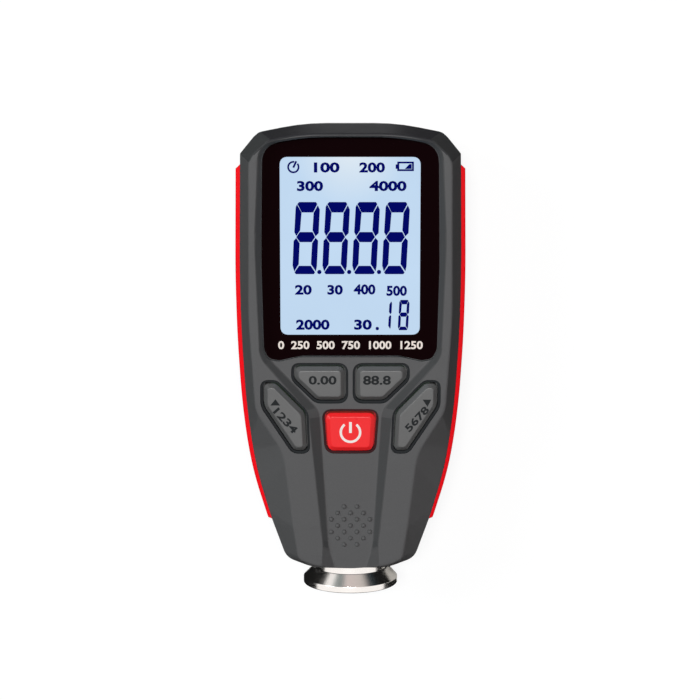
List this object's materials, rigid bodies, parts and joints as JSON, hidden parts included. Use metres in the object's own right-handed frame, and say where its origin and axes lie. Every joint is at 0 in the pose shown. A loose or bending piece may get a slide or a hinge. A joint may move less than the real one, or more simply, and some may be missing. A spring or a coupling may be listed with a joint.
{
  "type": "coating thickness gauge",
  "caption": "Hand-held coating thickness gauge: tapered dark housing, large display, sunk key panel, red side grips and key, and a flared metal probe collar at one end.",
  "frame": {"origin": "middle of the overall box in x and y, on the surface that the gauge lies on", "axes": "+Z is the normal of the front face, +Y runs along the length to the display end, away from the probe, +X is to the right as the display is read"},
  "size_m": [0.051, 0.105, 0.0258],
  "materials": {
    "dark_plastic": "fine matte grain",
    "red_rubber": "smooth",
    "key_plastic": "satin",
    "red_plastic": "satin",
    "lens_plastic": "polished, printed black on its back",
    "lcd_glass": "smooth",
    "clear_plastic": "clear, smooth",
    "black_plastic": "moulded",
    "board_green": "coated laminate",
    "polished_steel": "turned and polished",
    "spring_steel": "bright plated",
    "copper_wire": "enamelled winding",
    "cell_jacket": "plain printed jacket",
    "strip_rubber": "smooth",
    "lead_jacket": "flexible jacket"
  },
  "bodies": {
    "housing": {"front_shell": "dark_plastic", "rear_shell": "dark_plastic", "side_grip_left": "red_rubber", "side_grip_right": "red_rubber", "housing_screw_left_top": "spring_steel", "housing_screw_right_top": "spring_steel", "housing_screw_left_low": "spring_steel", "housing_screw_right_low": "spring_steel", "display_lens": "lens_plastic", "lcd_panel": "lcd_glass", "light_guide": "clear_plastic", "display_connector": "strip_rubber", "display_frame": "black_plastic", "main_board": "board_green", "processor": "black_plastic", "buzzer": "black_plastic", "zero_switch": "black_plastic", "read_switch": "black_plastic", "mode_switch": "black_plastic", "units_switch": "black_plastic", "power_switch": "black_plastic", "battery_left": "cell_jacket", "battery_right": "cell_jacket", "contact_bridge": "spring_steel", "contact_positive": "spring_steel", "contact_negative": "spring_steel", "contact_spring_left": "spring_steel", "contact_spring_right": "spring_steel", "probe_collar": "polished_steel", "probe_sleeve": "black_plastic", "probe_sleeve_cap": "black_plastic", "probe_lead": "lead_jacket", "probe_socket": "black_plastic"},
    "battery_door": {"battery_door": "dark_plastic"},
    "zero_key": {"zero_key": "key_plastic", "zero_plunger": "spring_steel"},
    "read_key": {"read_key": "key_plastic", "read_plunger": "spring_steel"},
    "mode_key": {"mode_key": "key_plastic", "mode_plunger": "spring_steel"},
    "units_key": {"units_key": "key_plastic", "units_plunger": "spring_steel"},
    "power_key": {"power_key": "red_plastic", "power_plunger": "spring_steel"},
    "probe_tip": {"probe_core": "black_plastic", "probe_pin": "polished_steel", "probe_coil": "copper_wire", "probe_spring": "spring_steel"}
  },
  "joints": [
    {"name": "battery_door_hinge", "type": "hinge", "parent": "housing", "child": "battery_door", "pos_m": [0, -0.0248, 0.00062], "axis": [-1, 0, 0], "range_deg": [0, 60]},
    {"name": "zero_key_slide", "type": "slide", "parent": "housing", "child": "zero_key", "axis": [0, 0, -1], "range_m": [0, 0.0005], "stiffness_N_per_m": 600, "springref_m": -0.001},
    {"name": "read_key_slide", "type": "slide", "parent": "housing", "child": "read_key", "axis": [0, 0, -1], "range_m": [0, 0.0005], "stiffness_N_per_m": 600, "springref_m": -0.001},
    {"name": "mode_key_slide", "type": "slide", "parent": "housing", "child": "mode_key", "axis": [0, 0, -1], "range_m": [0, 0.0005], "stiffness_N_per_m": 600, "springref_m": -0.001},
    {"name": "units_key_slide", "type": "slide", "parent": "housing", "child": "units_key", "axis": [0, 0, -1], "range_m": [0, 0.0005], "stiffness_N_per_m": 600, "springref_m": -0.001},
    {"name": "power_key_slide", "type": "slide", "parent": "housing", "child": "power_key", "axis": [0, 0, -1], "range_m": [0, 0.0005], "stiffness_N_per_m": 600, "springref_m": -0.001},
    {"name": "probe_slide", "type": "slide", "parent": "housing", "child": "probe_tip", "axis": [0, 1, 0], "range_m": [0, 0.0015], "stiffness_N_per_m": 1000, "springref_m": -0.001, "deforming": ["probe_spring"]}
  ]
}
